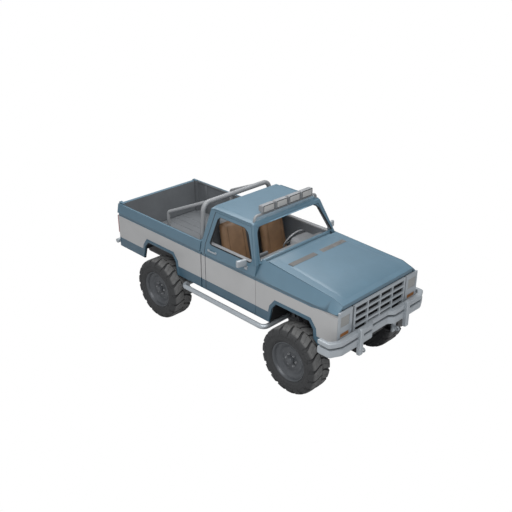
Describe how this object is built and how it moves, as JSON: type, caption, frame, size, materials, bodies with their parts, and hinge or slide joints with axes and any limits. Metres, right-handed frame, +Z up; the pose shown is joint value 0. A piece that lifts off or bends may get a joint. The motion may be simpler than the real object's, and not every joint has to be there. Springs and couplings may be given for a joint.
{
  "type": "lifted pickup truck",
  "caption": "Lifted regular cab pickup truck with a short bed, roll bar, roof lamps and big lugged tyres.",
  "frame": {"origin": "on the ground under the middle of the overall length", "axes": "+X forward, +Y to the driver's left, +Z up"},
  "size_m": [5.13, 2.14, 2.435],
  "materials": {
    "body_paint": "gloss",
    "bright_metal": "polished",
    "bar_paint": "satin",
    "clear_lens": "gloss",
    "lamp_case": "gloss",
    "amber_lens": "gloss",
    "red_lens": "gloss",
    "dark_liner": "matte",
    "steering_plastic": "satin",
    "frame_paint": "satin",
    "spring_steel": "satin",
    "casting": "matte",
    "tyre_rubber": "matte",
    "wheel_steel": "satin",
    "window_glass": "gloss",
    "seat_cover": "satin"
  },
  "bodies": {
    "chassis": {"bed": "body_paint", "cab_glass": "window_glass", "cab_shell": "body_paint", "dashboard": "dark_liner", "driveshafts": "frame_paint", "engine_block": "casting", "exhaust": "spring_steel", "fenders": "body_paint", "frame": "frame_paint", "front_axle": "frame_paint", "front_bumper": "bright_metal", "fuel_tank": "frame_paint", "grille": "bright_metal", "headlamps": "clear_lens", "inner_fenders": "dark_liner", "lamp_bezels": "bright_metal", "leaf_springs": "spring_steel", "light_bar": "bar_paint", "radiator_support": "body_paint", "rear_axle": "frame_paint", "rear_bumper": "bright_metal", "roll_hoop": "bar_paint", "roll_stays": "bar_paint", "roof_lamps": "lamp_case", "seat_bases": "frame_paint", "seats": "seat_cover", "shock_absorbers": "spring_steel", "steering_column": "steering_plastic", "step_bars": "bright_metal", "tail_lamps": "red_lens", "transmission": "casting", "turn_lamps": "amber_lens"},
    "hood": {"hood_panel": "body_paint"},
    "door_left": {"door_left": "body_paint", "door_fittings_left": "bright_metal"},
    "door_right": {"door_right": "body_paint", "door_fittings_right": "bright_metal"},
    "tailgate": {"tailgate": "body_paint"},
    "knuckle_left": {"knuckle_left": "frame_paint"},
    "knuckle_right": {"knuckle_right": "frame_paint"},
    "tie_rod": {"tie_rod": "frame_paint"},
    "steering_wheel": {"steering_wheel": "steering_plastic"},
    "wheel_front_left": {"tyre_front_left": "tyre_rubber", "rim_front_left": "wheel_steel"},
    "wheel_front_right": {"tyre_front_right": "tyre_rubber", "rim_front_right": "wheel_steel"},
    "wheel_rear_left": {"tyre_rear_left": "tyre_rubber", "rim_rear_left": "wheel_steel"},
    "wheel_rear_right": {"tyre_rear_right": "tyre_rubber", "rim_rear_right": "wheel_steel"}
  },
  "joints": [
    {"name": "hood", "type": "hinge", "parent": "chassis", "child": "hood", "pos_m": [1.008, 0, 1.745], "axis": [0, -1, 0], "range_deg": [0, 55]},
    {"name": "door_left", "type": "hinge", "parent": "chassis", "child": "door_left", "pos_m": [0.886, 0.905, 1.2], "axis": [0, 0, -1], "range_deg": [0, 65]},
    {"name": "door_right", "type": "hinge", "parent": "chassis", "child": "door_right", "pos_m": [0.886, -0.905, 1.2], "axis": [0, 0, 1], "range_deg": [0, 65]},
    {"name": "tailgate", "type": "hinge", "parent": "chassis", "child": "tailgate", "pos_m": [-2.473, 0, 1.098], "axis": [0, -1, 0], "range_deg": [0, 90]},
    {"name": "steer", "type": "hinge", "parent": "chassis", "child": "knuckle_left", "pos_m": [1.68, 0.765, 0.511], "axis": [0, 0, 1], "range_deg": [-28, 28]},
    {"name": "steer_right", "type": "hinge", "parent": "chassis", "child": "knuckle_right", "pos_m": [1.68, -0.765, 0.511], "axis": [0, 0, 1], "range_deg": [-28, 28]},
    {"name": "tie_rod", "type": "hinge", "parent": "knuckle_left", "child": "tie_rod", "pos_m": [1.83, 0.765, 0.3925], "axis": [0, 0, 1], "range_deg": [-28, 28]},
    {"name": "steering_wheel", "type": "hinge", "parent": "chassis", "child": "steering_wheel", "pos_m": [0.428, 0.41, 1.52], "axis": [-0.8832, 0, 0.4691], "range_deg": [-420, 420]},
    {"name": "wheel_front_left", "type": "hinge", "parent": "knuckle_left", "child": "wheel_front_left", "pos_m": [1.68, 0.87, 0.511], "axis": [0, 1, 0], "continuous": true},
    {"name": "wheel_front_right", "type": "hinge", "parent": "knuckle_right", "child": "wheel_front_right", "pos_m": [1.68, -0.87, 0.511], "axis": [0, 1, 0], "continuous": true},
    {"name": "wheel_rear_left", "type": "hinge", "parent": "chassis", "child": "wheel_rear_left", "pos_m": [-1.29, 0.87, 0.511], "axis": [0, 1, 0], "continuous": true},
    {"name": "wheel_rear_right", "type": "hinge", "parent": "chassis", "child": "wheel_rear_right", "pos_m": [-1.29, -0.87, 0.511], "axis": [0, 1, 0], "continuous": true}
  ],
  "couplings": [
    {"joint": "steer_right", "follows": "steer", "ratio": 1},
    {"joint": "tie_rod", "follows": "steer", "ratio": -1},
    {"joint": "steering_wheel", "follows": "steer", "ratio": 15}
  ]
}
